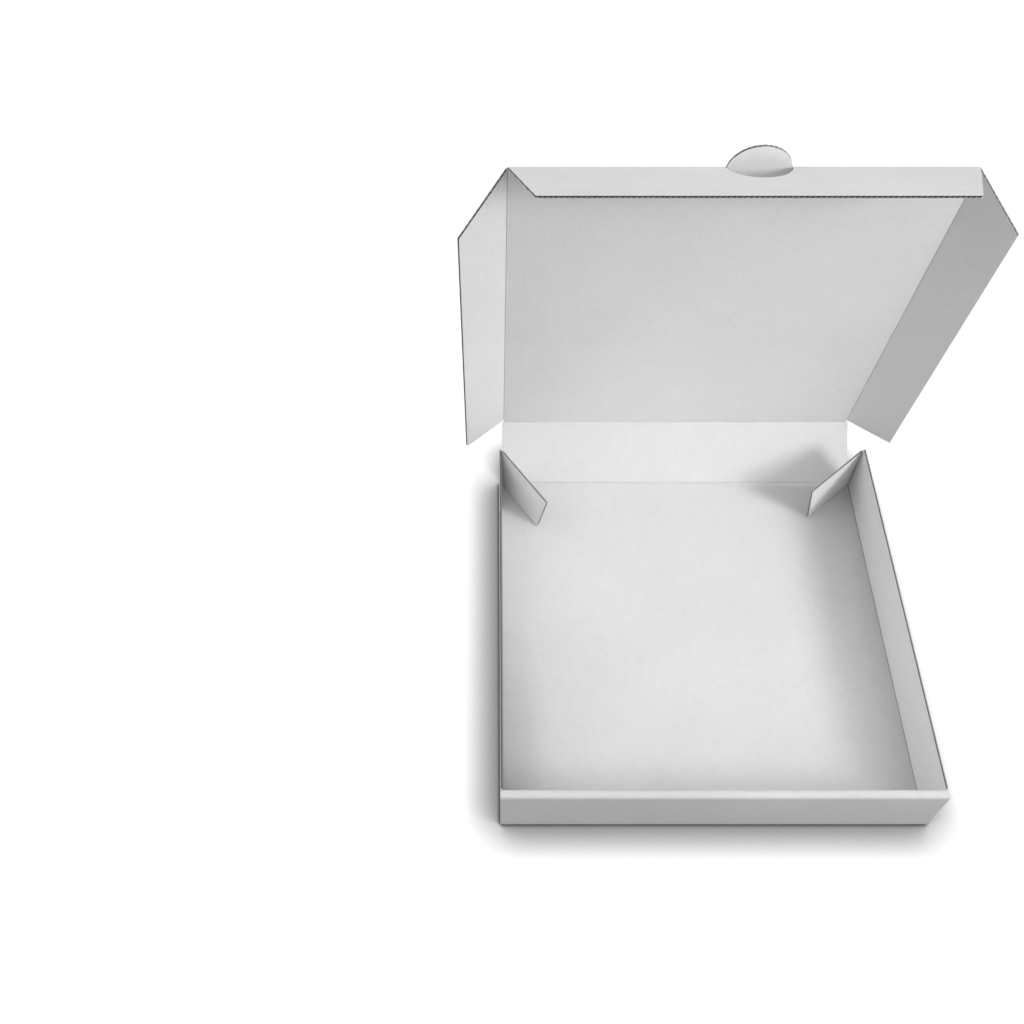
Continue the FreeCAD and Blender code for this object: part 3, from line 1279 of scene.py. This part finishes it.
@dataclass
class LidFrontFlap:
    """The lid's front flap with its thumb hole, and its crease on both sides of the hole.

    Attributes:
        node: The frame node it stands for.
        body: The body it rides on.
        thumb_offset: How far right of the middle the thumb hole lies, in metres.
        thumb_half_chord: Half the hole's width at the crease, in metres.
    """

    node: str = "lid_front_flap"
    body: str = "front_flap"
    thumb_offset: float = 9.4 * MILLIMETRE
    thumb_half_chord: float = 20.8 * MILLIMETRE

    def build(self) -> list[bpy.types.Object]:
        """Build the flap and the two stretches of its fold.

        Returns:
            The pieces.
        """
        low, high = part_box(self.node)
        lay = BLANK.front_flap()
        pieces = BoardPanel(self.node, self.body, lay, X_AXIS, "x").build()
        hole_low = self.thumb_offset - self.thumb_half_chord
        hole_high = self.thumb_offset + self.thumb_half_chord
        for name, ends in (("left", (low.x, hole_low)), ("right", (hole_high, high.x))):
            fold = Crease(
                f"front_flap_fold_{name}", ("lid", self.body), BLANK.lid(), lay, ends
            )
            pieces.append(fold.build())
        return pieces


@dataclass
class LidSideFlap:
    """One of the lid's side flaps and its crease.

    Attributes:
        side: Which side of the lid it is on.
        painted_groove_shade: How light the pressed inner side of its crease is painted, as shade.
        channel: How deep its cut edges are opened, in metres.
    """

    side: Side
    painted_groove_shade: float = 0.26
    channel: float = 1.3 * MILLIMETRE

    def build(self) -> list[bpy.types.Object]:
        """Build the flap and its fold.

        Returns:
            The pieces.
        """
        name = self.side.value
        node = f"lid_side_flap_{name}"
        body = f"side_flap_{name}"
        lay = BLANK.side_flap(self.side)
        panel = BoardPanel(node, body, lay, lay.away, f"side_flap_{name}", self.channel)
        corners = frame["nodes"][node].data.vertices
        reach = [(vertex.co - lay.crease).dot(lay.along) for vertex in corners]
        fold = Crease(
            f"side_flap_fold_{name}",
            ("lid", body),
            BLANK.lid(),
            lay,
            (min(reach), max(reach)),
            painted_groove_shade=self.painted_groove_shade,
        )
        return [*panel.build(), fold.build()]


@dataclass
class RearCornerFlap:
    """One of the tray's rear corner flaps and its wide crease.

    Attributes:
        side: Which side wall it is on.
        channel: How deep its cut edges are opened, in metres.
        root_lead: How far its fold reaches into the side wall, in metres.
        root_gap: How far its fold reaches towards the flap, in metres.
        root_press: How deep its fold is pressed in, in metres.
        root_pinch: How flat the top of its fold is crushed, as a share of its depth.
    """

    side: Side
    channel: float = 0.6 * MILLIMETRE
    root_lead: float = 0.15 * MILLIMETRE
    root_gap: float = 1.2 * MILLIMETRE
    root_press: float = 0.6 * MILLIMETRE
    root_pinch: float = 0.62

    def build(self) -> list[bpy.types.Object]:
        """Build the flap and its fold.

        Returns:
            The pieces.
        """
        name = self.side.value
        node = f"rear_corner_flap_{name}"
        body = f"corner_flap_{name}"
        wall, lay = BLANK.side_wall(self.side), BLANK.corner_flap(self.side)
        panel = BoardPanel(node, body, lay, Z_AXIS, "z", self.channel)
        low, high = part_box(node)
        start, stop = sorted((z - lay.crease.z) * lay.along.z for z in (low.z, high.z))
        fold = Crease(
            f"corner_flap_fold_{name}",
            ("tray", body),
            wall,
            lay,
            (start, stop),
            (self.root_lead, self.root_gap),
            press=self.root_press,
            pinch=self.root_pinch,
        )
        return [*panel.build(), fold.build()]


# The studio


@dataclass(frozen=True)
class Lamp:
    """A square area light.

    Attributes:
        name: The light's name.
        place: Where it hangs.
        target: The point it is aimed at.
        size: The length of its side, in metres.
        power: Its power, in watts.
        spread: The width of its beam, in degrees.
    """

    name: str
    place: tuple[float, float, float]
    target: tuple[float, float, float]
    size: float
    power: float
    spread: float = 180.0

    def hang(self) -> None:
        """Add the light to the scene."""
        lamp = bpy.data.lights.new(self.name, "AREA")
        lamp.energy = self.power
        lamp.size = self.size
        lamp.spread = math.radians(self.spread)
        light = bpy.data.objects.new(self.name, lamp)
        light.location = self.place
        aim = Vector(self.target) - Vector(self.place)
        light.rotation_euler = aim.to_track_quat("-Z", "Y").to_euler()
        bpy.context.scene.collection.objects.link(light)


# The points that the lamps are aimed at
TRAY_MIDDLE = (0.0, 0.05, 0.05)
OPEN_LID = (0.0, 0.17, 0.24)


@dataclass
class Studio:
    """Floor, lights, world and camera.

    Attributes:
        eye: The camera's place.
        pitch: How far the camera looks down, in degrees.
        focal: The focal length in widths of the picture.
        shift: The lens shift in widths of the picture.
        sensor: The width of the sensor, in millimetres.
        clip: The nearest and the farthest distance that is seen, in metres.
        floor_size: The width of the floor, in metres.
        floor_gap: How far the floor lies below the tray, in metres.
        floor_overlap: How far the floor reaches under the tray, in metres.
        ground: The floor's finish.
        ambient: The strength of the light from all round.
        lamps: A large soft key above, a narrow front light on the open lid and a fill
            from the left.
    """

    eye: tuple[float, float, float] = (-0.157, -0.4274, 0.7706)
    pitch: float = 55.44
    focal: float = 1105.0 / 1024
    shift: tuple[float, float] = (0.0176, 0.0166)
    sensor: float = 36.0
    clip: tuple[float, float] = (0.05, 40.0)
    floor_size: float = 6.0
    floor_gap: float = 0.3 * MILLIMETRE
    floor_overlap: float = 0.5 * MILLIMETRE
    ground: GroundFinish = GroundFinish()
    ambient: float = 0.60
    lamps: tuple[Lamp, ...] = (
        Lamp("key_light", (0.75, 0.30, 1.45), TRAY_MIDDLE, 1.0, 1.6),
        Lamp("lid_light", (0.85, -0.55, 0.80), OPEN_LID, 0.40, 1.22, 56),
        Lamp("fill_light", (-1.2, 0.05, 1.2), TRAY_MIDDLE, 1.4, 7.8),
    )

    def build(self) -> None:
        """Set the whole studio up."""
        self.camera()
        self.floor()
        self.world()
        for lamp in self.lamps:
            lamp.hang()
        bpy.context.scene.view_settings.view_transform = "Standard"

    def camera(self) -> None:
        """Place the camera at the picture's viewpoint."""
        lens = bpy.data.cameras.new("camera")
        lens.sensor_width = self.sensor
        lens.lens = self.sensor * self.focal
        lens.shift_x, lens.shift_y = self.shift
        lens.clip_start, lens.clip_end = self.clip
        camera = bpy.data.objects.new("camera", lens)
        camera.location = self.eye
        camera.rotation_euler = (math.radians(90 - self.pitch), 0, 0)
        bpy.context.scene.collection.objects.link(camera)
        bpy.context.scene.camera = camera

    def floor(self) -> None:
        """Lay the floor and give it its finish."""
        bpy.ops.mesh.primitive_plane_add(size=self.floor_size, location=(0, 0, -self.floor_gap))
        floor = bpy.context.active_object
        floor.name = "studio_floor"
        bake_place(floor)
        self.open_below(floor)
        floor.data.materials.append(self.ground.material("studio_floor"))

    def open_below(self, floor: bpy.types.Object) -> None:
        """Cut the floor out under the tray, so that the underside is lit in views from below.

        Args:
            floor: The floor's mesh.
        """
        low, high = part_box("base_tray")
        near = (low.x + self.floor_overlap, low.y + self.floor_overlap)
        far = (high.x - self.floor_overlap, high.y - self.floor_overlap)
        with edit_mode(floor):
            for line in (near, far):
                for normal in (X_AXIS, Y_AXIS):
                    bpy.ops.mesh.select_all(action="SELECT")
                    bpy.ops.mesh.bisect(plane_co=(*line, 0), plane_no=normal)
            pick_faces(
                floor,
                lambda face: near[0] < face.calc_center_median().x < far[0]
                and near[1] < face.calc_center_median().y < far[1],
            )
            bpy.ops.mesh.delete(type="FACE")

    def world(self) -> None:
        """Light the scene softly from all round, before a background that is seen as white."""
        tree = NodeTree(bpy.data.worlds.new("studio"))
        bpy.context.scene.world = tree.owner
        background = tree.nodes["Background"]
        background.inputs["Color"].default_value = (1, 1, 1, 1)
        level = tree.add("ShaderNodeMapRange", To_Min=self.ambient, To_Max=1.0)
        tree.link(*tree.looked_at(), level, "Value")
        tree.link(level, "Result", background, "Strength")


def main() -> None:
    """Build the studio and every sub-assembly."""
    logging.basicConfig(level=logging.INFO, format="%(message)s")
    Studio().build()
    assemblies = (
        Tray(),
        BackWall(),
        Lid(),
        LidFrontFlap(),
        LidSideFlap(Side.LEFT),
        LidSideFlap(Side.RIGHT),
        RearCornerFlap(Side.LEFT),
        RearCornerFlap(Side.RIGHT),
    )
    for assembly in assemblies:
        for piece in assembly.build():
            log.info("%s: %d faces", piece.name, len(piece.data.polygons))


if __name__ == "__main__":
    main()
